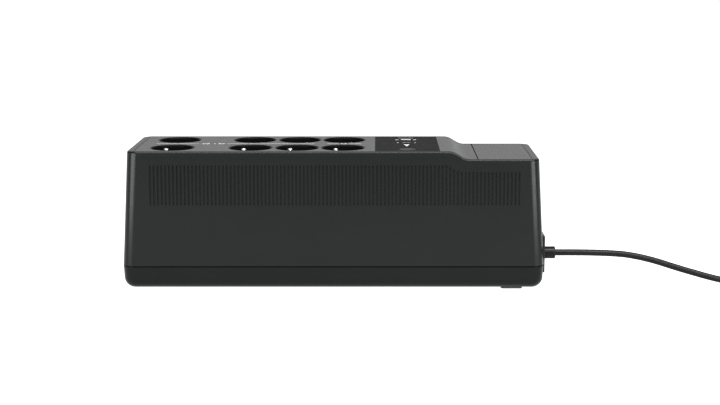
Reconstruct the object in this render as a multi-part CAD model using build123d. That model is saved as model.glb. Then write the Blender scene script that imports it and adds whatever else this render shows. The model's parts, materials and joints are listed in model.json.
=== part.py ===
"""Desk uninterruptible power supply: a low tapered housing on a separate base tray.

Millimetres, +Z up. The origin is at the middle of the footprint, on the surface it stands on.
The front is -Y, and the mains cord leaves the right end, +X.
"""
from build123d import *
import math
import os

os.makedirs("parts", exist_ok=True)

# ---- overall housing -------------------------------------------------------------------
LENGTH = 396.8            # upper housing at the parting line
DEPTH = 120.0
FOOT_H = 1.5              # underside of the base above the surface it stands on
PARTING_Z = 23.4
SHADOW_GAP = 1.0
TOP_Z = 131.35            # outlet deck
LOW_TOP_Z = 123.95        # label level at the right end
DRAFT_X = math.tan(math.radians(3.0))
DRAFT_Y = math.tan(math.radians(2.6))
CORNER_R = 10.0
WALL = 2.5
EDGE_R = 1.9
STEP_X = (112.0, 124.0)   # corners of the S-shaped step, before rounding
STEP_R = 14.0
FIT = 0.15                # gap between mating plastic pieces
PAST = 5.0                # how far a cutter reaches past the face that it opens
BOSS_R, BOSS_TOP_Z = 4.2, 46.0
BOSS_HOLE_R, BOSS_HOLE_TOP_Z = 1.8, 38.0
BOSS_WEB_TOP_Z = 42.0

# ---- base tray -------------------------------------------------------------------------
BASE_TOP_L, BASE_TOP_D = 397.0, 120.8
BASE_LOW_L, BASE_LOW_D = 395.0, 118.8
BASE_CORNER_R = 11.0
BASE_FILLET = 10.0
FLOOR_T = 3.2
HOLLOW_INSET = 6.5        # thick lower wall, so the rounded underside keeps its thickness
UPPER_HOLLOW_Z = 12.0
LIP_INSET = 2.9           # locating lip, from the outline of the housing
LIP_T = 1.6
POST_R = 5.2              # round the case screws
SCREW_HEAD_POCKET_R, SCREW_HEAD_POCKET_H = 4.1, 5.5
SCREW_CLEAR_R = 1.95

# ---- top plates ------------------------------------------------------------------------
DECK_X = (-185.6, 134.9)
BADGE_X = (135.9, 185.8)
DECK_HALF_Y = 52.2
DECK_T = 2.4
DECK_DOWN = 0.12          # the plates lie a little below the housing's rim
LEDGE = 3.0               # shelf of the housing under the plates
PANEL_X = (39.3, 100.0)
PANEL_HALF_Y = 51.2
PANEL_T = 1.0
PANEL_TOP_Z = TOP_Z - DECK_DOWN - 0.04
DECK_POST_R = 2.5         # posts under the deck that carry the display board
DECK_POSTS = ((45.5, -40.0), (45.5, 40.0), (94.5, -40.0), (94.5, 40.0))

# ---- outlets, type E -------------------------------------------------------------------
OUTLET_X = (-152.8, -78.8, -34.65, 8.85)
OUTLET_Y = 27.1
CUP_R = 21.2
WELL_R = 19.6
WELL_DEPTH = 15.0
CUP_FLOOR = 2.0
CONTACT_SPACING = 19.0
CONTACT_HOLE_R = 2.9
EARTH_R = 2.4
EARTH_OFFSET = 10.1
EARTH_TIP_BELOW = 1.6
RIB_W, RIB_IN = 4.4, 2.0
SHUTTER_SIZE = (26.0, 7.4, 1.5)
CUP_TOP_Z = TOP_Z - DECK_DOWN - 0.08
CUP_FLOOR_Z = CUP_TOP_Z - WELL_DEPTH
CARRIER_Z = CUP_FLOOR_Z - CUP_FLOOR
CARRIER_H = 4.5
SHUTTER_GAP = 0.2

# ---- vents -----------------------------------------------------------------------------
VENT_PITCH = 3.583
VENT_W = 1.7
VENT_DEPTH = 1.5
VENT_X = (-170.25, 173.8)
VENT_BOTTOM_Z = 81.1
VENT_TOP_Z = 118.6
VENT_LOW_TOP_Z = 112.4
VENT_STEP_X = (106.0, 118.0)

# ---- power button and its board --------------------------------------------------------
BUTTON_X, BUTTON_Y = 69.6, -37.5
BUTTON_R = 8.2
BUTTON_SKIRT_Z = 125.2
BOARD_TOP_Z = 119.6
BOARD_T = 1.6
DISPLAY_BOARD = ((42.0, 98.0), (-44.0, 44.0))
BUTTON_FLANGE, BUTTON_FLANGE_T = 1.4, 2.0
LAMP_R, LAMP_H, LAMP_PITCH, LAMP_Y = 1.4, 3.5, 6.0, 27.0
SWITCH_HALF, SWITCH_H = 1.5, 2.4
SOUNDER_R, SOUNDER_H, SOUNDER_X, SOUNDER_Y = 6.0, 7.5, 84.0, -20.0
SPRING_TURNS = 4
SPRING_R, SPRING_WIRE_R = 2.6, 0.35

# ---- right-hand port panel -------------------------------------------------------------
PORT_FACE_X = 200.4
PORT_BACK_X = 190.5
PORT_HALF_Y = 45.0
PORT_Z = (13.7, 49.3)
PORT_WALL = 2.0
RING_CLEAR = 0.25
GLAND_Y, GLAND_Z = -35.0, 31.4
GLAND_R = 5.9
GLAND_OUT = 10.5
BREAKER_Y = -16.0
BREAKER_R = 5.0
JACK_Y = (0.0, 16.2)
JACK_W, JACK_H, JACK_DEEP = 11.8, 8.4, 13.0
JACK_BODY = (17.0, 15.6, 15.0)
NOTCH_HALF_W, NOTCH_DOWN = 3.0, 2.2
PANEL_SKIN = 4.0          # depth that the cutters of the port panel reach behind its face
PORT_MID_Z = 31.6
USB_Y = 32.0
USB_A_Z, USB_C_Z = 37.6, 25.1
CHARGER_BOARD = ((160.0, 180.0), (20.0, 37.0), (18.6, 20.2))

# ---- inside ----------------------------------------------------------------------------
BATTERY = (151.0, 65.0, 94.0)
BATTERY_X = -103.0
TAB_H = 6.0
LEAD_R = 1.9
DOOR_X = (-188.0, -22.0)
DOOR_HALF_Y = 35.0
DOOR_T = 1.6
DOOR_Z = FOOT_H + 0.1
TONGUE_OUT, TONGUE_T = 1.4, 0.6
KEYHOLE_HEAD_R, KEYHOLE_SLOT_W, KEYHOLE_L = 4.2, 4.4, 16.0
RAIL_T, RAIL_TOP_Z, RAIL_HALF_L = 2.0, 40.0, 60.0
KEYHOLES = ((-110.0, 45.0), (110.0, 45.0))
BOARD_X = (0.0, 176.0)
BOARD_HALF_Y = 44.0
MAIN_BOARD_Z = 10.0
SCREW_X, SCREW_Y = 184.0, 44.0
FEET = ((168.5, 47.0), (168.5, -47.0), (-162.0, 40.0), (-162.0, -40.0))
FOOT_SIZE, FOOT_IN = (20.0, 10.0), 0.75
SCREW_HEAD_R, SCREW_HEAD_H, SCREW_R, SCREW_TOP_Z = 3.4, 2.6, 1.7, 36.0
CORE_X, CORE_HALF_Y, CORE_H = (52.0, 92.0), 32.0, 56.0
WINDOW_Y, WINDOW_UP, WINDOW_DOWN = (9.0, 22.0), 10.0, 46.0
SINK_X, SINK_Y, SINK_H = (108.0, 148.0), (30.0, 32.0), 44.0
FIN_COUNT, FIN_PITCH, FIN_T, FIN_Y = 8, 5.0, 1.2, 20.0
CHIP_COUNT, CHIP_PITCH, CHIP_W = 4, 10.0, 8.0
CANS = ((112.0, -28.0, 11.0, 40.0), (127.0, -25.0, 11.0, 40.0), (136.0, -28.0, 6.0, 22.0),
        (151.0, -25.0, 6.0, 22.0), (166.0, -28.0, 5.0, 16.0))
RELAY_SIZE = (15.0, 19.0, 15.5)
RELAYS = ((10.0, -30.0), (28.0, -30.0), (10.0, 12.0), (28.0, 12.0))

# ---- mains cord ------------------------------------------------------------------------
CORD_R = 3.15
COIL_CENTRE = (434.0, -5.0)
COIL_OUT_R, COIL_IN_R, COIL_H = 48.8, 20.2, 13.0
CORD_REST_Z = 3.3
CORD_LENGTH = 1800.0
LEAD_ROUTE = (
    (PORT_FACE_X + GLAND_OUT, GLAND_Y, GLAND_Z),
    (250.0, -35.3, 31.1),
    (291.0, -36.8, 27.4),
    (331.0, -40.4, 16.2),
    (373.0, -45.5, 5.2),
    (414.0, -48.5, CORD_REST_Z),
)
PLUG_ROUTE = (
    (479.4, 4.0, 9.7),
    (479.4, 22.0, 10.6),
    (479.8, 40.0, 16.0),
    (480.0, 58.0, 19.0),
)
PLUG_X, PLUG_Y, PLUG_Z = 480.0, 58.0, 19.0
PLUG_R = 18.6
PLUG_FACE = 52.0          # along the plug's own axis, from the end of its strain relief
PIN_STEM_R = 2.0
PIN_LENGTH = 19.0


# ======================================================================================
# helpers
def block(x, y, z):
    """Box from (low, high) pairs."""
    size = [high - low for low, high in (x, y, z)]
    return Pos(x[0], y[0], z[0]) * Box(*size, align=(Align.MIN,) * 3)


def rod(radius, z0, z1, x=0.0, y=0.0):
    return Pos(x, y, z0) * Cylinder(radius, z1 - z0, align=(Align.CENTER, Align.CENTER, Align.MIN))


def rod_x(radius, x0, x1, y, z):
    bar = Cylinder(radius, x1 - x0, align=(Align.CENTER, Align.CENTER, Align.MIN))
    return Pos(x0, y, z) * Rot(0, 90, 0) * bar


def tapered(z0, z1, inset=0.0):
    """Body of the housing between two heights, following the draft, moved in by inset."""
    low, high = z0 - PARTING_Z, z1 - PARTING_Z
    long = LENGTH - 2 * (low * DRAFT_X + inset)
    deep = DEPTH - 2 * (low * DRAFT_Y + inset)
    lean_x, lean_y = (high - low) * DRAFT_X, (high - low) * DRAFT_Y
    wedge = Wedge(long, z1 - z0, deep, lean_x, lean_y, long - lean_x, deep - lean_y)
    body = Pos(0, 0, (z0 + z1) / 2) * Rot(90, 0, 0) * wedge
    corners = body.edges().filter_by(lambda e: e.bounding_box().size.Z > 0.9 * (z1 - z0))
    return fillet(corners, max(CORNER_R - inset, 2.0))


def above_step(drop=0.0, reach=260.0):
    """Everything above the top surface lowered by drop, to cut with."""
    high, low = TOP_Z - drop, LOW_TOP_Z - drop
    line = FilletPolyline(
        (-reach, high), (STEP_X[0], high), (STEP_X[1], low), (reach, low), radius=STEP_R
    )
    lid = Polyline((reach, low), (reach, TOP_Z + 60), (-reach, TOP_Z + 60), (-reach, high))
    return extrude(Plane.XZ * make_face(line + lid), amount=100, both=True)


def top_plate(x_range, half_y, thick, below=0.0):
    """Plate that follows the top surface over an X range."""
    slab = block(x_range, (-half_y, half_y), (LOW_TOP_Z - 12, TOP_Z + 5))
    slab -= above_step(below)
    return slab & above_step(below + thick)


def sub_parts():
    """Every node, by name."""
    nodes = {}
    nodes.update(housing_parts())
    nodes.update(outlet_parts())
    nodes.update(control_parts())
    nodes.update(port_parts())
    nodes.update(battery_parts())
    nodes.update(inverter_parts())
    nodes.update(fastener_parts())
    nodes.update(cord_parts())
    return nodes


# ======================================================================================
# housing, base and top plates
def port_window():
    grow = RING_CLEAR
    y = PORT_HALF_Y + grow
    return block((PORT_BACK_X - 1, 215), (-y, y), (PORT_Z[0] - grow, PORT_Z[1] + grow))


def vent_top(x):
    """Upper end of a flute: it follows the step of the top."""
    share = (x - VENT_STEP_X[0]) / (VENT_STEP_X[1] - VENT_STEP_X[0])
    share = min(max(share, 0.0), 1.0)
    return VENT_TOP_Z + share * (VENT_LOW_TOP_Z - VENT_TOP_Z)


def vent_flutes():
    """Shallow upright flutes along the front and the back."""
    count = int((VENT_X[1] - VENT_X[0]) / VENT_PITCH) + 1
    tilt = math.degrees(math.atan(DRAFT_Y))
    flutes = []
    for index in range(count):
        x = VENT_X[0] + index * VENT_PITCH
        top = vent_top(x)
        middle = (VENT_BOTTOM_Z + top) / 2
        face_y = DEPTH / 2 - (middle - PARTING_Z) * DRAFT_Y
        slot = extrude(SlotOverall(top - VENT_BOTTOM_Z, VENT_W, rotation=90), amount=3)
        for side in (-1, 1):
            turned = Rot(90 if side < 0 else -90, 0, 0) * slot
            leaned = Rot(side * tilt, 0, 0) * turned
            flutes.append(Pos(x, side * (face_y - VENT_DEPTH), middle) * leaned)
    return flutes


def housing_parts():
    low = PARTING_Z
    outer = tapered(low, TOP_Z + 2)
    outer -= above_step()
    outer = fillet(top_rim_edges(outer), EDGE_R)
    inner = tapered(low - 1, TOP_Z + 2, WALL)
    inner -= above_step(DECK_T + LEDGE)
    shell = outer - inner
    opening = block((DECK_X[0] + LEDGE, BADGE_X[1] - LEDGE), (-DECK_HALF_Y + LEDGE, DECK_HALF_Y - LEDGE),
                    (LOW_TOP_Z - 24, TOP_Z + PAST))
    pocket = block((DECK_X[0] - 0.4, BADGE_X[1] + 0.4), (-DECK_HALF_Y - FIT, DECK_HALF_Y + FIT),
                   (LOW_TOP_Z - 20, TOP_Z + PAST))
    pocket &= above_step(DECK_T + DECK_DOWN + 0.05)
    shell -= opening
    shell -= pocket
    shell -= port_window()
    shell -= vent_flutes()
    for x in (-SCREW_X, SCREW_X):
        for y in (-SCREW_Y, SCREW_Y):
            shell += screw_boss(x, y)
    deck = top_plate(DECK_X, DECK_HALF_Y, DECK_T, DECK_DOWN)
    badge = top_plate(BADGE_X, DECK_HALF_Y, DECK_T, DECK_DOWN)
    panel_space = block((PANEL_X[0] - 0.1, PANEL_X[1] + 0.1), (-PANEL_HALF_Y - 0.1, PANEL_HALF_Y + 0.1),
                        (PANEL_TOP_Z - PANEL_T - 0.05, TOP_Z + PAST))
    deck -= panel_space
    for x in OUTLET_X:
        for y in (-OUTLET_Y, OUTLET_Y):
            deck -= rod(CUP_R + FIT, LOW_TOP_Z - 14, TOP_Z + PAST, x, y)
    deck -= button_shape(FIT, BUTTON_SKIRT_Z - PAST, TOP_Z + PAST)
    for x, y in DECK_POSTS:
        deck += rod(DECK_POST_R, BOARD_TOP_Z + 0.05, TOP_Z - DECK_T, x, y)
    return {
        "upper_housing": shell,
        "outlet_deck": deck,
        "label_plate": badge,
        "base_tray": base_tray(),
    }


def screw_boss(x, y):
    """Blind boss for a case screw, joined to the side wall by a web."""
    side = math.copysign(1, y)
    web_y = sorted((y, side * (DEPTH / 2 - WALL + 0.3)))
    web = block((x - 1, x + 1), web_y, (PARTING_Z + 1.5, BOSS_WEB_TOP_Z))
    boss = rod(BOSS_R, PARTING_Z + 1.0, BOSS_TOP_Z, x, y) + web
    return boss - rod(BOSS_HOLE_R, PARTING_Z, BOSS_HOLE_TOP_Z, x, y)


def top_rim_edges(body):
    """Outer edges of the top surface."""
    return body.edges().filter_by(lambda e: e.center().Z > LOW_TOP_Z - 0.2 and is_rim(e))


def is_rim(edge):
    """True for an edge on the outline of the top, false for a seam across it."""
    middle = edge.position_at(0.5)
    rise = middle.Z - PARTING_Z
    near_y = abs(abs(middle.Y) - (DEPTH / 2 - rise * DRAFT_Y)) < 4.5
    near_x = abs(abs(middle.X) - (LENGTH / 2 - rise * DRAFT_X)) < 4.5
    return near_y or near_x


def base_tray():
    low, high = FOOT_H, PARTING_Z - SHADOW_GAP
    faces = [
        Pos(0, 0, low) * RectangleRounded(BASE_LOW_L, BASE_LOW_D, BASE_CORNER_R),
        Pos(0, 0, high) * RectangleRounded(BASE_TOP_L, BASE_TOP_D, BASE_CORNER_R),
    ]
    body = loft(faces)
    body = fillet(body.faces().sort_by(Axis.Z)[0].edges(), BASE_FILLET)
    hollow = block(
        (-BASE_LOW_L / 2 + HOLLOW_INSET, BASE_LOW_L / 2 - HOLLOW_INSET),
        (-BASE_LOW_D / 2 + HOLLOW_INSET, BASE_LOW_D / 2 - HOLLOW_INSET),
        (low + FLOOR_T, high + 1),
    )
    hollow = fillet(hollow.edges().filter_by(Axis.Z), 6)
    upper_outline = RectangleRounded(BASE_LOW_L - 2 * WALL, BASE_LOW_D - 2 * WALL, 8)
    upper_hollow = extrude(Pos(0, 0, UPPER_HOLLOW_Z) * upper_outline, amount=12)
    body -= hollow
    body -= upper_hollow
    body += locating_lip(high)
    body -= port_window()
    body -= battery_hatch()
    for x, y in FEET:
        recess = RectangleRounded(FOOT_SIZE[0] + 0.4, FOOT_SIZE[1] + 0.4, 2)
        body -= extrude(Pos(x, y, low) * recess, amount=FOOT_IN + 0.05)
    for x in (-SCREW_X, SCREW_X):
        for y in (-SCREW_Y, SCREW_Y):
            body += rod(POST_R, low + 1, PARTING_Z + 0.7, x, y)
            body -= rod(SCREW_HEAD_POCKET_R, low - 1, low + SCREW_HEAD_POCKET_H, x, y)
            body -= rod(SCREW_CLEAR_R, low - 1, PARTING_Z + 2, x, y)
    for x, y in KEYHOLES:
        body -= keyhole(x, y, low)
    body += board_posts(low)
    body += battery_cradle(low)
    return body


def locating_lip(high):
    """Ring inside the tray's rim that the housing drops over; it shows as the dark line between them."""
    long, deep = LENGTH - 2 * LIP_INSET, DEPTH - 2 * LIP_INSET
    root = extrude(Pos(0, 0, high - 4) * RectangleRounded(long + 2.4, deep + 1.4, 9), amount=3.7)
    lip = extrude(Pos(0, 0, high - 1) * RectangleRounded(long, deep, 7), amount=2 + SHADOW_GAP)
    bore = extrude(Pos(0, 0, high - 5) * RectangleRounded(long - 2 * LIP_T, deep - 2 * LIP_T, 6), amount=9)
    return root + lip - bore


def battery_hatch():
    """Opening over the battery, with a grooved channel that runs out through the left end for the door."""
    top = DOOR_Z + DOOR_T + 0.2
    x = (-210, DOOR_X[1] + 0.3)
    half = DOOR_HALF_Y + 0.3
    channel = block(x, (-half, half), (FOOT_H - 1, top))
    half += TONGUE_OUT
    channel += block(x, (-half, half), (top - TONGUE_T - 0.4, top))
    hole_x = (DOOR_X[0] + 6, DOOR_X[1] - 3)
    hole_y = (-BATTERY[1] / 2 - 0.5, BATTERY[1] / 2 + 0.5)
    return channel + block(hole_x, hole_y, (FOOT_H - 1, FOOT_H + FLOOR_T + 1))


def keyhole(x, y, low):
    """Wall-hanging keyhole in the floor."""
    slot = Pos(x, y, low - 1) * extrude(SlotOverall(KEYHOLE_L, KEYHOLE_SLOT_W), amount=FLOOR_T + 2)
    return slot + rod(KEYHOLE_HEAD_R, low - 1, low + FLOOR_T + 1, x - 6, y)


def board_posts(low):
    posts = []
    for x in (BOARD_X[0] + 6, BOARD_X[1] - 6):
        for y in (-BOARD_HALF_Y + 6, BOARD_HALF_Y - 6):
            posts.append(rod(3.2, low + 1, MAIN_BOARD_Z, x, y))
    return posts


def battery_cradle(low):
    """Two upright rails that hold the battery sideways."""
    half = BATTERY[1] / 2 + 0.6
    x = (BATTERY_X - RAIL_HALF_L, BATTERY_X + RAIL_HALF_L)
    z = (low + FLOOR_T - 0.2, RAIL_TOP_Z)
    return block(x, (half, half + RAIL_T), z) + block(x, (-half - RAIL_T, -half), z)


# ======================================================================================
# outlets
def outlet_places():
    """Name, place and turn of each outlet: the back row is turned by half a turn."""
    number = 0
    for row, y in (("front", -OUTLET_Y), ("back", OUTLET_Y)):
        for x in OUTLET_X:
            number += 1
            yield f"{number}_{row}", x, y, 135.0 if row == "front" else -45.0


def outlet_cup():
    """Well in its own frame: the earth pin is on +X, the two contacts on the Y line."""
    cup = rod(CUP_R, CARRIER_Z, CUP_TOP_Z)
    cup -= rod(WELL_R, CUP_FLOOR_Z, CUP_TOP_Z + 1)
    rim = cup.faces().sort_by(Axis.Z)[-1].edges().sort_by(SortBy.LENGTH)[0]
    cup = fillet(rim, 1.4)
    for side in (-1, 1):
        rib_z = (CUP_FLOOR_Z - 0.5, CUP_TOP_Z - 3)
        rib = block((-RIB_W / 2, RIB_W / 2), (WELL_R - RIB_IN, WELL_R + 0.5), rib_z)
        cup += Rot(0, 0, 90 * side - 90) * rib
    carrier = block((-10.8, 6.3), (-15, 15), (CARRIER_Z - CARRIER_H, CARRIER_Z + 0.5))
    track_z = (CARRIER_Z - SHUTTER_SIZE[2] - 2 * SHUTTER_GAP, CARRIER_Z)
    half = SHUTTER_SIZE[0] / 2 + SHUTTER_GAP
    carrier -= block((-12, 4.2), (-half, half), track_z)
    cup += carrier
    cup -= block((-12, 4.2), (-half, half), track_z)
    for side in (-1, 1):
        cup -= rod(CONTACT_HOLE_R, 100, CUP_FLOOR_Z + 1, 0, side * CONTACT_SPACING / 2)
    cup -= rod(EARTH_R + 0.05, 100, CUP_FLOOR_Z + 1, EARTH_OFFSET, 0)
    return cup


def earth_pin():
    tip = CUP_TOP_Z - EARTH_TIP_BELOW
    pin = rod(EARTH_R, CARRIER_Z - 3, tip, EARTH_OFFSET, 0)
    pin = fillet(pin.faces().sort_by(Axis.Z)[-1].edges(), 1.6)
    return pin + rod(EARTH_R + 1.2, CARRIER_Z - 3, CARRIER_Z - 0.1, EARTH_OFFSET, 0)


def shutter():
    """Child-protection slide that covers both contact holes from below."""
    wide, deep, thick = SHUTTER_SIZE
    z = CARRIER_Z - SHUTTER_GAP - thick
    return block((-deep / 2, deep / 2), (-wide / 2, wide / 2), (z, z + thick))


def outlet_parts():
    nodes = {}
    for name, x, y, turn in outlet_places():
        place = Pos(x, y, 0) * Rot(0, 0, turn)
        nodes[f"outlet_cup_{name}"] = place * outlet_cup()
        nodes[f"earth_pin_{name}"] = place * earth_pin()
        nodes[f"shutter_{name}"] = place * shutter()
    nodes.update(bus_bars())
    return nodes


def bus_bars():
    """Live, neutral and earth strips under each row."""
    offset = CONTACT_SPACING / 2 / math.sqrt(2)
    strip_top = CARRIER_Z - CARRIER_H - 0.3
    ends = (OUTLET_X[0] - 12, OUTLET_X[-1] + 12)
    strips = []
    for row in (-OUTLET_Y, OUTLET_Y):
        edge = math.copysign(OUTLET_Y + 19.0, row)
        for y, half in ((row - offset, 3.0), (row + offset, 3.0), (edge, 2.0)):
            strips.append(block(ends, (y - half, y + half), (strip_top - 0.8, strip_top)))
    return {"bus_bars": Compound(strips)}


# ======================================================================================
# control panel
def button_shape(grow, z0, z1):
    """Round button, grown by a gap where it cuts its hole."""
    return rod(BUTTON_R + grow, z0, z1, BUTTON_X, BUTTON_Y)


def control_parts():
    panel = block(PANEL_X, (-PANEL_HALF_Y, PANEL_HALF_Y), (PANEL_TOP_Z - PANEL_T, PANEL_TOP_Z))
    panel -= button_shape(FIT, TOP_Z - 5, TOP_Z + 1)
    button = button_shape(0.0, BUTTON_SKIRT_Z, PANEL_TOP_Z)
    button = fillet(button.faces().sort_by(Axis.Z)[-1].edges(), 0.4)
    flange_z = (BUTTON_SKIRT_Z, BUTTON_SKIRT_Z + BUTTON_FLANGE_T)
    button += rod(BUTTON_R + BUTTON_FLANGE, *flange_z, BUTTON_X, BUTTON_Y)
    height = BUTTON_SKIRT_Z - BOARD_TOP_Z - 2 * SPRING_WIRE_R - 0.1
    path = Helix(height / SPRING_TURNS, height, SPRING_R)
    wire = sweep((path ^ 0) * Circle(SPRING_WIRE_R), path=path)
    spring = Pos(BUTTON_X, BUTTON_Y, BOARD_TOP_Z + SPRING_WIRE_R + 0.05) * wire
    board = block(*DISPLAY_BOARD, (BOARD_TOP_Z - BOARD_T, BOARD_TOP_Z))
    half = SWITCH_HALF
    switch = block((BUTTON_X - half, BUTTON_X + half), (BUTTON_Y - half, BUTTON_Y + half),
                   (BOARD_TOP_Z, BOARD_TOP_Z + SWITCH_H))
    lamps = []
    for index in range(4):
        x = BUTTON_X + (index - 1.5) * LAMP_PITCH
        lamps.append(rod(LAMP_R, BOARD_TOP_Z, BOARD_TOP_Z + LAMP_H, x, LAMP_Y))
    under = BOARD_TOP_Z - BOARD_T
    sounder = rod(SOUNDER_R, under - SOUNDER_H, under, SOUNDER_X, SOUNDER_Y)
    return {
        "control_panel": panel,
        "power_button": button,
        "power_button_spring": spring,
        "display_board": board,
        "display_board_parts": Compound([switch, sounder, *lamps]),
    }


# ======================================================================================
# right-hand end
def port_parts():
    face, back, low, high = PORT_FACE_X, PORT_BACK_X, *PORT_Z
    panel = block((back, face), (-PORT_HALF_Y, PORT_HALF_Y), (low, high))
    panel = fillet(panel.edges().filter_by(Axis.X), 1.6)
    panel = fillet(panel.faces().sort_by(Axis.X)[-1].edges(), 0.8)
    wall = PORT_WALL
    half = PORT_HALF_Y - wall
    panel -= block((back - 1, face - wall), (-half, half), (low + wall, high - wall))
    skin = (face - PANEL_SKIN, face + 1)
    panel -= rod_x(GLAND_R + 0.05, *skin, GLAND_Y, GLAND_Z)
    panel -= rod_x(BREAKER_R + 0.2, *skin, BREAKER_Y, PORT_MID_Z)
    for y in JACK_Y:
        panel -= jack_mouth(y, *skin)
    panel -= block(skin, (USB_Y - 6.6, USB_Y + 6.6), (USB_A_Z - 2.9, USB_A_Z + 2.9))
    panel -= usb_c_mouth(*skin, 0.15)
    return {
        "port_panel": panel,
        "cord_gland": cord_gland(),
        "data_line_jacks": Compound([jack(y) for y in JACK_Y]),
        "usb_charging_ports": usb_ports(),
        "usb_charger_board": block(*CHARGER_BOARD),
        "breaker_body": breaker_body(),
        "breaker_reset_button": breaker_button(),
    }


def cord_gland():
    """Short strain relief with a collar behind the panel."""
    face = PORT_FACE_X
    gland = rod_x(GLAND_R, face - 4, face + GLAND_OUT, GLAND_Y, GLAND_Z)
    gland = fillet(gland.faces().sort_by(Axis.X)[-1].edges(), 0.8)
    return gland + rod_x(GLAND_R + 1.9, face - 7, face - PORT_WALL - 0.05, GLAND_Y, GLAND_Z)


def jack_mouth(y, x0, x1):
    """Modular-jack opening with its latch notch at the bottom."""
    half = JACK_W / 2
    low = PORT_MID_Z - 3.0
    mouth = block((x0, x1), (y - half, y + half), (low, low + JACK_H))
    notch = block((x0, x1), (y - NOTCH_HALF_W, y + NOTCH_HALF_W), (low - NOTCH_DOWN, low + 1))
    return mouth + notch


def jack(y):
    deep, wide, tall = JACK_BODY
    front = PORT_FACE_X - PORT_WALL - 0.1
    low = PORT_MID_Z - tall / 2
    body = block((front - deep, front), (y - wide / 2, y + wide / 2), (low, low + tall))
    return body - jack_mouth(y, front - JACK_DEEP, front + 1)


def usb_c_mouth(x0, x1, grow):
    profile = SlotOverall(9.0 + 2 * grow, 3.2 + 2 * grow)
    return Pos(x0, USB_Y, USB_C_Z) * (Rot(0, 90, 0) * (Rot(0, 0, 90) * extrude(profile, amount=x1 - x0)))


def usb_ports():
    """A wide and a small charging port: a metal shell with its contact tongue."""
    front = PORT_FACE_X - PORT_WALL - 0.1
    shell = block((front - 13, front), (USB_Y - 7.1, USB_Y + 7.1), (USB_A_Z - 3.5, USB_A_Z + 3.5))
    shell -= block((front - 12, front + 1), (USB_Y - 6.3, USB_Y + 6.3), (USB_A_Z - 2.6, USB_A_Z + 2.6))
    shell += block((front - 12.5, front - 1.5), (USB_Y - 5.4, USB_Y + 5.4), (USB_A_Z + 0.2, USB_A_Z + 2.0))
    small = block((front - 8, front), (USB_Y - 5.2, USB_Y + 5.2), (USB_C_Z - 2.2, USB_C_Z + 2.2))
    small -= usb_c_mouth(front - 7, front + 1, 0.0)
    small += block((front - 7.5, front - 1), (USB_Y - 3.2, USB_Y + 3.2), (USB_C_Z - 0.35, USB_C_Z + 0.35))
    return Compound([shell, small])


def breaker_body():
    front = PORT_FACE_X - PORT_WALL - 0.1
    body = block((front - 28, front), (BREAKER_Y - 8, BREAKER_Y + 8), (PORT_MID_Z - 8, PORT_MID_Z + 8))
    return body - rod_x(BREAKER_R + 0.2, front - 9, front + 1, BREAKER_Y, PORT_MID_Z)


def breaker_button():
    """Push-to-reset button, flush with a small proud rim when the breaker is closed."""
    front = PORT_FACE_X + 1.2
    stem = rod_x(BREAKER_R, front - 8, front, BREAKER_Y, PORT_MID_Z)
    return fillet(stem.faces().sort_by(Axis.X)[-1].edges(), 0.6)


# ======================================================================================
# battery
def battery_parts():
    long, deep, tall = BATTERY
    low = DOOR_Z + DOOR_T + 0.15
    x = (BATTERY_X - long / 2, BATTERY_X + long / 2)
    case = block(x, (-deep / 2, deep / 2), (low, low + tall))
    case = fillet(case.edges().filter_by(Axis.Z), 2.0)
    top = low + tall
    tabs = []
    for y in (-22.0, 22.0):
        tabs.append(block((x[1] - 12, x[1] - 5.8), (y - 0.4, y + 0.4), (top, top + TAB_H)))
    return {
        "battery": case,
        "battery_terminals": Compound(tabs),
        "battery_leads": battery_leads(x[1] - 5.7, top + TAB_H / 2),
        "battery_door": battery_door(),
    }


def battery_door():
    """Sliding door under the battery, with side tongues and finger grooves."""
    top = DOOR_Z + DOOR_T
    door = block(DOOR_X, (-DOOR_HALF_Y, DOOR_HALF_Y), (DOOR_Z, top))
    half = DOOR_HALF_Y + TONGUE_OUT
    door += block(DOOR_X, (-half, half), (top - TONGUE_T, top))
    for index in range(5):
        grip_x = DOOR_X[0] + 6 + 3.0 * index
        door -= block((grip_x, grip_x + 1.2), (-14, 14), (DOOR_Z - 1, DOOR_Z + 0.5))
    return door


def battery_leads(x, z):
    """Leads from the tabs down to the main board."""
    landing_z = MAIN_BOARD_Z + BOARD_T + 0.2
    leads = []
    for y in (-22.0, 22.0):
        path = FilletPolyline((x, y, z), (2, y, z), (4, y, landing_z), radius=12.0)
        leads.append(sweep((path ^ 0) * Circle(LEAD_R), path=path))
    return Compound(leads)


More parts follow.
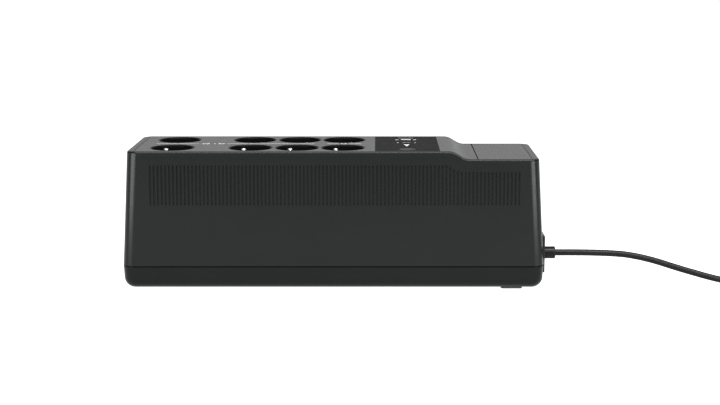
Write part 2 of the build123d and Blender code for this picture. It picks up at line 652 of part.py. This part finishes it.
# ======================================================================================
# inverter electronics
def inverter_parts():
    top = MAIN_BOARD_Z + BOARD_T
    board = block(BOARD_X, (-BOARD_HALF_Y, BOARD_HALF_Y), (MAIN_BOARD_Z, top))
    for x in (BOARD_X[0] + 6, BOARD_X[1] - 6):
        for y in (-BOARD_HALF_Y + 6, BOARD_HALF_Y - 6):
            board -= rod(1.6, 0, 30, x, y)
    core = block(CORE_X, (-CORE_HALF_Y, CORE_HALF_Y), (top, top + CORE_H))
    near, far = WINDOW_Y
    for window_y in ((-far, -near), (near, far)):
        core -= block((CORE_X[0] - 1, CORE_X[1] + 1), window_y, (top + WINDOW_UP, top + WINDOW_DOWN))
    winding = block((CORE_X[0] - 6, CORE_X[1] + 6), (-far + 0.5, far - 0.5),
                    (top + WINDOW_UP + 0.5, top + WINDOW_DOWN - 0.5))
    winding -= block((CORE_X[0] - 0.5, CORE_X[1] + 0.5), (-near - 0.3, near + 0.3), (top + 9, top + 47))
    winding = fillet(winding.edges().filter_by(Axis.Z).sort_by(Axis.X)[0:2], 3)
    sink = block(SINK_X, SINK_Y, (top, top + SINK_H))
    for index in range(FIN_COUNT):
        x = SINK_X[0] + 2 + FIN_PITCH * index
        sink += block((x, x + FIN_T), (FIN_Y, SINK_Y[0] + 0.5), (top + 4, top + SINK_H))
    chips = []
    for index in range(CHIP_COUNT):
        x = SINK_X[0] + 3 + CHIP_PITCH * index
        chips.append(block((x, x + CHIP_W), (SINK_Y[1] + 0.1, SINK_Y[1] + 4.4), (top + 12, top + 28)))
    cans = [rod(radius, top, top + tall, x, y) for x, y, radius, tall in CANS]
    wide, deep, tall = RELAY_SIZE
    relays = [block((x, x + wide), (y, y + deep), (top, top + tall)) for x, y in RELAYS]
    return {
        "main_board": board,
        "transformer_core": core,
        "transformer_winding": winding,
        "heat_sink": sink,
        "power_transistors": Compound(chips),
        "capacitors": Compound(cans),
        "transfer_relays": Compound(relays),
    }


# ======================================================================================
# feet and screws
def fastener_parts():
    pads = []
    for x, y in FEET:
        pad = extrude(Pos(x, y, 0) * RectangleRounded(*FOOT_SIZE, 2), amount=FOOT_H + FOOT_IN)
        pads.append(fillet(pad.faces().sort_by(Axis.Z)[0].edges(), 0.4))
    screws = []
    for x in (-SCREW_X, SCREW_X):
        for y in (-SCREW_Y, SCREW_Y):
            top = FOOT_H + SCREW_HEAD_POCKET_H - 0.1
            head = rod(SCREW_HEAD_R, top - SCREW_HEAD_H, top, x, y)
            head -= rod(SCREW_HEAD_R - 2.2, top - SCREW_HEAD_H - 1, top - 1.2, x, y)
            screws.append(head + rod(SCREW_R, top - 0.1, SCREW_TOP_Z, x, y))
    return {"rubber_feet": Compound(pads), "case_screws": Compound(screws)}


# ======================================================================================
# mains cord, coil and plug
def corner_radii(route):
    """Largest arc that each corner's two runs allow."""
    points = [Vector(*point) for point in route]
    radii = []
    for before, here, after in zip(points, points[1:], points[2:]):
        into, out = here - before, after - here
        turn = math.radians(into.get_angle(out))
        radii.append(0.45 * min(into.length, out.length) / math.tan(turn / 2))
    return radii


def cord_tube(route, label):
    radii = corner_radii(route)
    path = FilletPolyline(*route, radius=radii)
    tube = sweep((path ^ 0) * Circle(CORD_R), path=path)
    section = math.pi * CORD_R**2
    print(f"{label}: radii {[round(r) for r in radii]}, length {path.length:.1f},",
          f"volume over section x length {tube.volume / (section * path.length):.4f}")
    return tube, path.length


def cord_parts():
    x, y = COIL_CENTRE
    ring = rod(COIL_OUT_R, 0.1, COIL_H, x, y) - rod(COIL_IN_R, -1, COIL_H + 1, x, y)
    ring = fillet(ring.edges(), 3.0)
    lead, lead_length = cord_tube(LEAD_ROUTE, "lead")
    tail, tail_length = cord_tube(PLUG_ROUTE, "tail")
    wound = CORD_LENGTH - lead_length - tail_length
    print(f"length left for the coil {wound:.0f}")
    tie = coil_tie(x, y)
    plug = mains_plug()
    return {
        "cord_lead": lead - ring - cord_gland(),
        "cord_tail": tail - ring - plug,
        "cord_coil": ring,
        "cord_tie": tie,
        "mains_plug": plug,
        "mains_plug_pins": plug_pins(),
    }


def coil_tie(x, y):
    """Flat wire tie round the bundle at its far side."""
    angle = 200.0
    outer = block((COIL_IN_R - 1.8, COIL_OUT_R + 1.8), (-3, 3), (0.0, COIL_H + 1.7))
    inner = block((COIL_IN_R - 0.6, COIL_OUT_R + 0.6), (-4, 4), (-1.0, COIL_H + 0.5))
    return Pos(x, y, 0) * Rot(0, 0, angle) * (outer - inner)


def along_y(shape):
    return Pos(PLUG_X, PLUG_Y, PLUG_Z) * Rot(-90, 0, 0) * shape


def mains_plug():
    """Round two-pin plug with side earth contacts, its axis along +Y, and its tapered strain relief."""
    relief = Cone(4.2, 6.5, 24, align=(Align.CENTER, Align.CENTER, Align.MIN))
    body = Cone(9.0, PLUG_R, 10, align=(Align.CENTER, Align.CENTER, Align.MIN))
    body = Pos(0, 0, 22) * body
    head = rod(PLUG_R, 32, PLUG_FACE)
    plug = relief + body + head
    for side in (-1, 1):
        plug -= block((-2.6, 2.6), (side * PLUG_R - 1.6, side * PLUG_R + 1.6), (36, PLUG_FACE + 1))
    plug -= rod(2.6, PLUG_FACE - 8, PLUG_FACE + 1, 0, -EARTH_OFFSET)
    for side in (-1, 1):
        plug -= rod(PIN_STEM_R + 0.02, PLUG_FACE - 7, PLUG_FACE + 1, side * CONTACT_SPACING / 2, 0)
    return along_y(plug)


def plug_pins():
    """Two round pins, each on a thinner stem held in the plug's face."""
    pins = []
    for side in (-1, 1):
        x = side * CONTACT_SPACING / 2
        pin = rod(EARTH_R, PLUG_FACE + 0.3, PLUG_FACE + PIN_LENGTH, x, 0)
        pin = fillet(pin.faces().sort_by(Axis.Z)[-1].edges(), 1.4)
        pins.append(pin + rod(PIN_STEM_R, PLUG_FACE - 6.9, PLUG_FACE + 0.4, x, 0))
    return along_y(Compound(pins))


# ======================================================================================
for node, shape in sub_parts().items():
    export_step(shape, f"parts/{node}.step")
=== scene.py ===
import json
import math

import bmesh
import bpy
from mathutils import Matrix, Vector


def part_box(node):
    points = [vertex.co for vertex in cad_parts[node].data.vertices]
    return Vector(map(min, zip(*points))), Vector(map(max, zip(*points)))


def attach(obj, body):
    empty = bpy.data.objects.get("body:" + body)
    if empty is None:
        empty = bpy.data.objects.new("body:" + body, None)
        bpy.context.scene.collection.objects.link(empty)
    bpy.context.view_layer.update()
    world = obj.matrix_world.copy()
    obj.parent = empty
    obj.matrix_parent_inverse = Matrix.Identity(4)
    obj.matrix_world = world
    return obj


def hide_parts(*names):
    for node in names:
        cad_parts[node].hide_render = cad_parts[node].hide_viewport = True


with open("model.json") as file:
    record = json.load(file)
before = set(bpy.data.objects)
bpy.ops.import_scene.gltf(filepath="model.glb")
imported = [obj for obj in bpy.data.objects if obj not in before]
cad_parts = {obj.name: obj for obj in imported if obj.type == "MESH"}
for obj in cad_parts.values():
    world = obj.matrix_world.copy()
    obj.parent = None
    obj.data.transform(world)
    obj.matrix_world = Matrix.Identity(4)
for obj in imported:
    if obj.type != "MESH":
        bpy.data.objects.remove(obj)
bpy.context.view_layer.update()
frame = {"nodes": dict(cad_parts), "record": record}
MM = 0.001


# ======================================================================================
# camera
LENS_MM = 72.2
SENSOR_MM = 36.0
SHIFT_X = -0.0247
CAMERA_PLACE = (0.04184, -1.3837, 0.32315)
CAMERA_TILT = math.radians(79.771)


def make_camera():
    data = bpy.data.cameras.new("camera")
    data.lens = LENS_MM
    data.sensor_width = SENSOR_MM
    data.shift_x = SHIFT_X
    camera = bpy.data.objects.new("camera", data)
    camera.location = CAMERA_PLACE
    camera.rotation_euler = (CAMERA_TILT, 0.0, 0.0)
    bpy.context.collection.objects.link(camera)
    bpy.context.scene.camera = camera


make_camera()


# ======================================================================================
# node helpers
def new_material(name):
    material = bpy.data.materials.new(name)
    material.use_nodes = True
    tree = material.node_tree
    return material, tree, tree.nodes["Principled BSDF"]


def add(tree, kind, **values):
    """New node; keys are input names or node attributes."""
    node = tree.nodes.new(kind)
    for key, value in values.items():
        if key in node.inputs:
            node.inputs[key].default_value = value
        else:
            setattr(node, key, value)
    return node


def noise(tree, size, detail=3.0, roughness=0.55, stretch=(1, 1, 1)):
    """Noise whose features are about size metres across, in the object's own frame."""
    place = add(tree, "ShaderNodeTexCoord")
    scale = add(tree, "ShaderNodeMapping")
    scale.inputs["Scale"].default_value = stretch
    texture = add(tree, "ShaderNodeTexNoise", Scale=1.0 / size, Detail=detail, Roughness=roughness)
    tree.links.new(place.outputs["Object"], scale.inputs["Vector"])
    tree.links.new(scale.outputs["Vector"], texture.inputs["Vector"])
    return texture.outputs["Fac"]


def spread(tree, value, low, high, start=0.3, end=0.7):
    """Value mapped from start..end to low..high."""
    node = add(tree, "ShaderNodeMapRange")
    node.inputs["From Min"].default_value = start
    node.inputs["From Max"].default_value = end
    node.inputs["To Min"].default_value = low
    node.inputs["To Max"].default_value = high
    tree.links.new(value, node.inputs["Value"])
    return node.outputs["Result"]


def mix_colour(tree, share, first, second):
    node = add(tree, "ShaderNodeMix", data_type="RGBA")
    node.inputs["A"].default_value = (*first, 1.0)
    node.inputs["B"].default_value = (*second, 1.0)
    tree.links.new(share, node.inputs["Factor"])
    return node.outputs["Result"]


def bump(tree, height, distance, strength=1.0, under=None):
    node = add(tree, "ShaderNodeBump", Strength=strength, Distance=distance)
    tree.links.new(height, node.inputs["Height"])
    if under is not None:
        tree.links.new(under, node.inputs["Normal"])
    return node.outputs["Normal"]


# ======================================================================================
# materials
FLOW_SIZE = 60 * MM
DUST_SIZE = 3.0 * MM
FLOW_SHARE = 0.6
GRAIN_SHARE = 0.4
TONE_SWING = 0.10
GLOSS_SWING = 0.05


def moulded(name, colour, rough, grain=0.45 * MM, depth=0.02 * MM, specular=0.5):
    """Moulded plastic with a spark-eroded texture, faint flow marks and slightly uneven gloss."""
    material, tree, shader = new_material(name)
    broad = noise(tree, FLOW_SIZE, 2.0)
    fine = noise(tree, grain, 2.0, 0.6)
    dust = noise(tree, DUST_SIZE, 4.0, 0.7)
    light = tuple(c * (1 + TONE_SWING) for c in colour)
    dark = tuple(c * (1 - TONE_SWING) for c in colour)
    cloud = add(tree, "ShaderNodeMath", operation="ADD")
    tree.links.new(spread(tree, broad, 0.0, FLOW_SHARE), cloud.inputs[0])
    tree.links.new(spread(tree, fine, 0.0, GRAIN_SHARE), cloud.inputs[1])
    tree.links.new(mix_colour(tree, cloud.outputs[0], dark, light), shader.inputs["Base Color"])
    gloss = spread(tree, dust, rough - GLOSS_SWING, rough + GLOSS_SWING)
    tree.links.new(gloss, shader.inputs["Roughness"])
    tree.links.new(bump(tree, fine, depth), shader.inputs["Normal"])
    shader.inputs["Specular IOR Level"].default_value = specular
    return material


HAZE_SIZE = 8 * MM
SCRATCH_SIZE = 0.8 * MM
SCRATCH_STRETCH = (1, 12, 1)
SCRATCH_DEPTH = 0.004 * MM


def glossy(name, colour, rough=0.25, specular=0.5):
    """Smooth plastic or paint with fine handling haze."""
    material, tree, shader = new_material(name)
    haze = noise(tree, HAZE_SIZE, 5.0, 0.7)
    scratch = noise(tree, SCRATCH_SIZE, 2.0, 0.5, SCRATCH_STRETCH)
    worn = tuple(c * 0.93 for c in colour)
    tone = mix_colour(tree, spread(tree, haze, 0, 1), worn, colour)
    tree.links.new(tone, shader.inputs["Base Color"])
    tree.links.new(spread(tree, haze, rough - 0.04, rough + 0.06), shader.inputs["Roughness"])
    tree.links.new(bump(tree, scratch, SCRATCH_DEPTH), shader.inputs["Normal"])
    shader.inputs["Specular IOR Level"].default_value = specular
    return material


METAL_GRAIN = 0.3 * MM
METAL_PATCH = 4 * MM
METAL_MARK_DEPTH = 0.006 * MM


def metal(name, colour, rough=0.2, brushed=(1, 1, 1)):
    """Plated or drawn metal with directional marks and dulled patches."""
    material, tree, shader = new_material(name)
    marks = noise(tree, METAL_GRAIN, 3.0, 0.6, brushed)
    patch = noise(tree, METAL_PATCH, 3.0)
    dull = tuple(c * 0.82 for c in colour)
    tone = mix_colour(tree, spread(tree, patch, 0, 1), dull, colour)
    tree.links.new(tone, shader.inputs["Base Color"])
    tree.links.new(spread(tree, patch, rough * 0.8, rough * 1.4), shader.inputs["Roughness"])
    tree.links.new(bump(tree, marks, METAL_MARK_DEPTH), shader.inputs["Normal"])
    shader.inputs["Metallic"].default_value = 1.0
    return material


BLOOM_SIZE = 12 * MM
SKIN_SIZE = 0.5 * MM
SKIN_DEPTH = 0.02 * MM


def sheath(name, colour, rough=0.42, specular=0.5):
    """Extruded cord sheath: a fine skin and a dry bloom."""
    material, tree, shader = new_material(name)
    bloom = noise(tree, BLOOM_SIZE, 4.0, 0.65)
    skin = noise(tree, SKIN_SIZE, 3.0, 0.6)
    pale = tuple(c * 1.5 for c in colour)
    tone = mix_colour(tree, spread(tree, bloom, 0, 1), colour, pale)
    tree.links.new(tone, shader.inputs["Base Color"])
    tree.links.new(spread(tree, bloom, rough, rough + 0.12), shader.inputs["Roughness"])
    tree.links.new(bump(tree, skin, SKIN_DEPTH), shader.inputs["Normal"])
    shader.inputs["Specular IOR Level"].default_value = specular
    return material


TRACKS_PER_METRE = 180.0
MASK_GREEN = (0.008, 0.07, 0.03)
TRACK_GREEN = (0.03, 0.16, 0.06)


def circuit_board(name):
    """Green solder mask with copper tracks showing through it."""
    material, tree, shader = new_material(name)
    place = add(tree, "ShaderNodeTexCoord")
    tracks = add(tree, "ShaderNodeTexVoronoi", Scale=TRACKS_PER_METRE, feature="DISTANCE_TO_EDGE")
    tree.links.new(place.outputs["Object"], tracks.inputs["Vector"])
    line = spread(tree, tracks.outputs["Distance"], 1.0, 0.0, 0.04, 0.09)
    tree.links.new(mix_colour(tree, line, MASK_GREEN, TRACK_GREEN), shader.inputs["Base Color"])
    tree.links.new(bump(tree, line, 0.03 * MM), shader.inputs["Normal"])
    shader.inputs["Roughness"].default_value = 0.35
    return material


def banded(name, bands, distortion, axis, dark, pale, depth, metallic, rough):
    """Fine even bands along one axis, as of wound wire or stacked sheets."""
    material, tree, shader = new_material(name)
    place = add(tree, "ShaderNodeTexCoord")
    wave = add(tree, "ShaderNodeTexWave", Scale=bands, Distortion=distortion, bands_direction=axis)
    tree.links.new(place.outputs["Object"], wave.inputs["Vector"])
    tree.links.new(mix_colour(tree, wave.outputs["Fac"], dark, pale), shader.inputs["Base Color"])
    tree.links.new(bump(tree, wave.outputs["Fac"], depth), shader.inputs["Normal"])
    shader.inputs["Metallic"].default_value = metallic
    shader.inputs["Roughness"].default_value = rough
    return material


HOUSING = moulded("housing_plastic", (0.0040, 0.0046, 0.0046), 0.22,
                  depth=0.006 * MM, specular=0.12)
BASE = moulded("base_plastic", (0.0036, 0.0043, 0.0042), 0.22,
               depth=0.006 * MM, specular=0.08)
DECK = moulded("deck_plastic", (0.015, 0.0155, 0.0155), 0.28,
               grain=0.6 * MM, depth=0.012 * MM, specular=0.25)
PANEL = glossy("panel_plastic", (0.0040, 0.0040, 0.0038), 0.30, specular=0.003)
BUTTON = glossy("button_plastic", (0.014, 0.014, 0.0135), 0.30, specular=0.02)
OUTLET = moulded("outlet_plastic", (0.0025, 0.0025, 0.0025), 0.22,
                 depth=0.004 * MM, specular=0.03)
SHUTTER = moulded("shutter_plastic", (0.012, 0.012, 0.012), 0.45)
PORTS = moulded("port_plastic", (0.004, 0.004, 0.004), 0.30, specular=0.15)
PIN_METAL = metal("nickel_plate", (0.86, 0.84, 0.80), 0.16)
CORD = sheath("cord_sheath", (0.0020, 0.0020, 0.0020), 0.20, 0.12)
PRINT = glossy("pale_print", (0.42, 0.42, 0.41), 0.5)
GREY_PRINT = glossy("grey_print", (0.20, 0.20, 0.20), 0.5)
PLUG = moulded("plug_plastic", (0.004, 0.004, 0.004), 0.32,
               depth=0.015 * MM, specular=0.25)
RUBBER = moulded("foot_rubber", (0.012, 0.012, 0.012), 0.75,
                 grain=0.8 * MM, depth=0.05 * MM)
GOLD = metal("gold_contact", (0.95, 0.70, 0.32), 0.15)

BY_SLOT = {
    "housing": HOUSING,
    "base": BASE,
    "deck": DECK,
    "panel": PANEL,
    "button": BUTTON,
    "outlet": OUTLET,
    "shutter": SHUTTER,
    "pin_metal": PIN_METAL,
    "ports": PORTS,
    "cord": CORD,
    "tie": SHUTTER,
    "plug": PLUG,
    "battery": moulded("battery_case", (0.045, 0.046, 0.050), 0.5),
    "tin": metal("tinned_tab", (0.75, 0.75, 0.72), 0.3),
    "lead_wire": sheath("lead_insulation", (0.22, 0.015, 0.012), 0.35),
    "brass": metal("brass_strip", (0.80, 0.58, 0.28), 0.25, (1, 10, 1)),
    "spring_steel": metal("spring_wire", (0.62, 0.62, 0.64), 0.25),
    "circuit_board": circuit_board("solder_mask"),
    "component": moulded("component_body", (0.014, 0.014, 0.014), 0.45),
    "jack_plastic": moulded("jack_body", (0.012, 0.012, 0.012), 0.4),
    "port_metal": metal("port_shell", (0.70, 0.70, 0.70), 0.22, (10, 1, 1)),
    "reset_button": glossy("reset_button", (0.012, 0.012, 0.012), 0.3),
    "core_iron": banded("core_sheets", 300.0, 0.1, "X",
                        (0.05, 0.045, 0.04), (0.22, 0.20, 0.18), 0.1 * MM, 0.6, 0.5),
    "copper": banded("enamelled_wire", 320.0, 0.3, "Z",
                     (0.18, 0.05, 0.02), (0.62, 0.24, 0.10), 0.3 * MM, 0.7, 0.3),
    "heat_sink": metal("heat_sink_metal", (0.75, 0.75, 0.77), 0.3, (1, 1, 10)),
    "capacitor": glossy("capacitor_sleeve", (0.02, 0.02, 0.035), 0.3),
    "relay": moulded("relay_case", (0.02, 0.05, 0.14), 0.4),
    "rubber": RUBBER,
    "screw_steel": metal("screw_zinc", (0.55, 0.56, 0.58), 0.3),
}


def dress_cad_nodes():
    slots = {entry["node"]: entry["material_slot"] for entry in frame["record"]["subparts"]}
    for name, node in frame["nodes"].items():
        material = BY_SLOT[slots[name]]
        node.data.materials.clear()
        node.data.materials.append(material)


dress_cad_nodes()


# ======================================================================================
# mesh helpers
def mesh_object(name, verts, faces, material, body="housing"):
    """Piece made of given faces, riding a body."""
    data = bpy.data.meshes.new(name)
    data.from_pydata([Vector(v) for v in verts], [], faces)
    data.update()
    data.materials.append(material)
    thing = bpy.data.objects.new(name, data)
    bpy.context.collection.objects.link(thing)
    repair = bmesh.new()
    repair.from_mesh(data)
    bmesh.ops.recalc_face_normals(repair, faces=repair.faces)
    repair.to_mesh(data)
    repair.free()
    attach(thing, body)


def outline_solid(outlines, z, thick):
    """Closed plates from outlines, each a list of (x, y)."""
    verts, faces = [], []
    for outline in outlines:
        first, count = len(verts), len(outline)
        verts += [(x, y, z) for x, y in outline]
        verts += [(x, y, z + thick) for x, y in outline]
        faces.append(list(range(first, first + count))[::-1])
        faces.append(list(range(first + count, first + 2 * count)))
        for k in range(count):
            j = (k + 1) % count
            faces.append([first + k, first + j, first + count + j, first + count + k])
    return verts, faces


QUARTER_STEPS = 4
ALMOST_ROUND = 0.98


def bar(x, y, wide, deep, radius=None):
    """Rounded bar outline around a centre."""
    radius = min(wide, deep) / 2 * ALMOST_ROUND if radius is None else radius
    points = []
    for turn, (sx, sy) in enumerate(((1, 1), (-1, 1), (-1, -1), (1, -1))):
        cx, cy = x + sx * (wide / 2 - radius), y + sy * (deep / 2 - radius)
        for step in range(QUARTER_STEPS + 1):
            angle = math.radians(90 * turn + 90 / QUARTER_STEPS * step)
            points.append((cx + radius * math.cos(angle), cy + radius * math.sin(angle)))
    return points


def arc_band(x, y, inner, outer, start, end, steps=24):
    """Outline of part of a ring, angles in degrees."""
    angles = [math.radians(start + (end - start) * k / steps) for k in range(steps + 1)]
    rim = [(x + outer * math.cos(a), y + outer * math.sin(a)) for a in angles]
    return rim + [(x + inner * math.cos(a), y + inner * math.sin(a)) for a in reversed(angles)]


# ======================================================================================
# mains cord: straight out of the strain relief, down to the floor and into a tied coil
CORD_D = 6.3 * MM
GLAND_LOW, GLAND_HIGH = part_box("cord_gland")
GLAND_FACE_X = GLAND_HIGH.x
GLAND_Z = (GLAND_LOW.z + GLAND_HIGH.z) / 2
LEAD = [
    (GLAND_FACE_X, -0.0350, GLAND_Z),
    (0.2640, -0.0355, 0.0318),
    (0.2980, -0.0373, 0.0266),
    (0.3310, -0.0404, 0.0162),
    (0.3730, -0.0455, 0.0052),
    (0.4020, -0.0476, 0.0033),
]
TAIL = [
    (0.4794, 0.0040, 0.0097),
    (0.4794, 0.0220, 0.0106),
    (0.4798, 0.0400, 0.0160),
    (0.4800, 0.0580, 0.0190),
]
COIL_X, COIL_Y = 0.434, -0.005
COIL_OUTER, COIL_INNER = 0.0454, 0.0235
COIL_FLOOR_Z = 3.3 * MM
LAYER_STEP = 6.35 * MM
COIL_START = math.radians(255)
TURNS = 7.29
CLIMB_TURNS = 0.35
TURN_STEPS = 16


def coil_points():
    """Two flat layers: the first winds inwards, the second outwards on top of it."""
    total = TURNS * 2 * math.pi
    climb = CLIMB_TURNS * 2 * math.pi
    wind = (total - climb) / 2
    count = int(TURNS * TURN_STEPS)
    points = []
    for k in range(count + 1):
        run = total * k / count
        if run < wind:
            share, lift = run / wind, 0.0
        elif run < wind + climb:
            share, lift = 1.0, (run - wind) / climb
        else:
            share, lift = 1.0 - (run - wind - climb) / wind, 1.0
        radius = COIL_OUTER + (COIL_INNER - COIL_OUTER) * share
        angle = COIL_START + run
        points.append((
            COIL_X + radius * math.cos(angle),
            COIL_Y + radius * math.sin(angle),
            COIL_FLOOR_Z + lift * LAYER_STEP,
        ))
    return points


def curve_object(name, points, diameter, material, body="housing"):
    """Round cord on one open NURBS spline through its control polygon."""
    data = bpy.data.curves.new(name, "CURVE")
    data.dimensions = "3D"
    data.resolution_u = 10
    data.bevel_depth = diameter / 2
    data.bevel_resolution = 6
    data.use_fill_caps = True
    spline = data.splines.new("NURBS")
    spline.points.add(len(points) - 1)
    for point, place in zip(spline.points, points):
        point.co = (*place, 1.0)
    spline.order_u = 3
    spline.use_endpoint_u = True
    data.materials.append(material)
    thing = bpy.data.objects.new(name, data)
    bpy.context.collection.objects.link(thing)
    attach(thing, body)
    return thing


def make_cord():
    cord = curve_object("mains_cord", LEAD + coil_points() + TAIL, CORD_D, CORD)
    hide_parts("cord_lead", "cord_tail", "cord_coil")


make_cord()


# ======================================================================================
# printed marks
PANEL_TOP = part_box("control_panel")[1].z
DECK_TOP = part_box("outlet_deck")[1].z
INK = 0.03 * MM
INK_GAP = 0.002 * MM
PANEL_X = 69.6
RULE_HALF = 0.6


def in_metres(outlines):
    return [[(x * MM, y * MM) for x, y in outline] for outline in outlines]


def print_marks(name, outlines, top, material):
    """Thin raised ink; the outlines are in millimetres."""
    verts, faces = outline_solid(in_metres(outlines), top + INK_GAP, INK)
    mesh_object(name, verts, faces, material)


def panel_marks():
    """Blank status bar with short dashes, two dots, an arc and a pointer."""
    x = PANEL_X
    bright = [
        bar(x, 30, 9.5, 4.5, 1.2),
        bar(x - 8.8, 28.5, 3.4, 2.4),
        bar(x + 8.6, 28.5, 3.4, 2.4),
        bar(x - 8.3, 7, 1.6, 2.4),
        bar(x + 8.3, 7, 1.6, 2.4),
        [(x - 3.0, -5.0), (x, -16.5), (x + 3.0, -5.0)],
    ]
    soft = [
        bar(x, 41, 15, 1.6),
        arc_band(x, 5.5, 3.2, 4.4, 15, 165),
    ]
    print_marks("panel_marks_bright", bright, PANEL_TOP, PRINT)
    print_marks("panel_marks_soft", soft, PANEL_TOP, GREY_PRINT)


def deck_marks():
    """Thin rules between the two rows of outlets, broken by small generic signs."""
    rules = []
    for start, end in ((-171.5, -131.5), (-103.4, -19.3), (-6.7, 4.0), (13.8, 25.5)):
        rules.append([
            (start, -RULE_HALF), (end, -RULE_HALF), (end, RULE_HALF), (start, RULE_HALF),
        ])
    rules.append(arc_band(-125.6, 0, 1.4, 2.4, 20, 340))
    rules.append(bar(-121.8, 0, 2.6, 3.6, 0.6))
    rules.append(bar(-115.6, 0, 2.3, 1.6))
    rules.append(arc_band(-109.0, 0, 1.9, 3.0, 0, 350))
    rules.append(arc_band(8.9, 0, 1.6, 2.7, 120, 420))
    print_marks("deck_rules", rules, DECK_TOP, PRINT)


panel_marks()
deck_marks()


# ======================================================================================
# small port details
JACKS_Y = (0.0, 16.2 * MM)
CONTACTS = 8
CONTACT_PITCH = 1.02 * MM
CONTACT_HALF = 0.2 * MM
CONTACT_THICK = 0.3 * MM
CONTACT_FROM = (1.5 * MM, 36.5 * MM)
CONTACT_TO = (9.5 * MM, 34.2 * MM)
BOX_FACES = (
    (0, 1, 3, 2), (4, 6, 7, 5), (0, 4, 5, 1), (2, 3, 7, 6), (1, 5, 7, 3), (0, 2, 6, 4),
)


def jack_contacts():
    """Eight sprung gold wires at the top of each data jack, sloping down into it."""
    verts, faces = [], []
    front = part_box("data_line_jacks")[1].x
    for y0 in JACKS_Y:
        for k in range(CONTACTS):
            y = y0 + (k - (CONTACTS - 1) / 2) * CONTACT_PITCH
            first = len(verts)
            for inwards, z in (CONTACT_FROM, CONTACT_TO):
                for dy in (-CONTACT_HALF, CONTACT_HALF):
                    verts.append((front - inwards, y + dy, z))
                    verts.append((front - inwards, y + dy, z + CONTACT_THICK))
            faces += [[first + corner for corner in face] for face in BOX_FACES]
    mesh_object("jack_contacts", verts, faces, GOLD)


jack_contacts()


# ======================================================================================
# floor, light and world
FLOOR_REACH = 40.0
FLOOR_GLOW = 1.0


def make_floor():
    far = FLOOR_REACH
    corners = [(-far, -far, 0), (far, -far, 0), (far, far, 0), (-far, far, 0)]
    data = bpy.data.meshes.new("floor")
    data.from_pydata(corners, [], [[0, 1, 2, 3]])
    floor = bpy.data.objects.new("floor", data)
    bpy.context.collection.objects.link(floor)
    material, tree, shader = new_material("studio_floor")
    tone = noise(tree, 0.8, 2.0)
    pale = mix_colour(tree, tone, (0.30, 0.30, 0.30), (0.32, 0.32, 0.32))
    tree.links.new(pale, shader.inputs["Base Color"])
    shader.inputs["Roughness"].default_value = 0.9
    shader.inputs["Specular IOR Level"].default_value = 0.0
    shader.inputs["Emission Color"].default_value = (1, 1, 1, 1)
    shader.inputs["Emission Strength"].default_value = FLOOR_GLOW
    data.materials.append(material)


def softbox(name, place, aim, size, radiance):
    """Rectangular soft light; radiance is what the camera or a mirror would see."""
    data = bpy.data.lights.new(name, "AREA")
    data.shape = "RECTANGLE"
    data.size, data.size_y = size
    data.energy = radiance * math.pi * size[0] * size[1]
    light = bpy.data.objects.new(name, data)
    light.location = place
    aimed = (Vector(aim) - Vector(place)).to_track_quat("-Z", "Y")
    light.rotation_euler = aimed.to_euler()
    bpy.context.collection.objects.link(light)


# name, place, aim, size in metres, radiance
SOFTBOXES = (
    ("overhead", (0.0, -0.30, 1.5), (0, 0, 0), (1.8, 1.0), 3.5),
    ("strip", (0.25, -0.52, 1.05), (0.1, -0.06, 0.10), (1.6, 0.20), 26.0),
    ("front_panel", (0.15, -1.05, 0.80), (0.05, -0.06, 0.10), (1.6, 0.36), 8.0),
    ("left_panel", (-0.695, -0.610, 0.135), (-0.20, -0.06, 0.135), (0.55, 0.26), 14.0),
    ("right_panel", (0.695, -0.610, 0.135), (0.20, -0.06, 0.135), (0.55, 0.26), 14.0),
)
SIDE_GLOW = 0.06
FRONT_AND_BACK_GLOW = 0.60


def make_light():
    """Softboxes, and a world that is pale in front and behind and dark at the sides."""
    for box in SOFTBOXES:
        softbox(*box)
    world = bpy.data.worlds.new("studio")
    world.use_nodes = True
    tree = world.node_tree
    background = tree.nodes["Background"]
    background.inputs["Color"].default_value = (1.0, 1.0, 1.0, 1.0)
    place = add(tree, "ShaderNodeTexCoord")
    split = add(tree, "ShaderNodeSeparateXYZ")
    tree.links.new(place.outputs["Generated"], split.inputs["Vector"])
    away = add(tree, "ShaderNodeMath", operation="ABSOLUTE")
    tree.links.new(split.outputs["Y"], away.inputs[0])
    glow = spread(tree, away.outputs[0], SIDE_GLOW, FRONT_AND_BACK_GLOW, 0.0, 0.7)
    tree.links.new(glow, background.inputs["Strength"])
    bpy.context.scene.world = world


make_floor()
make_light()
bpy.context.scene.view_settings.view_transform = "Standard"


# ======================================================================================
bpy.context.view_layer.update()
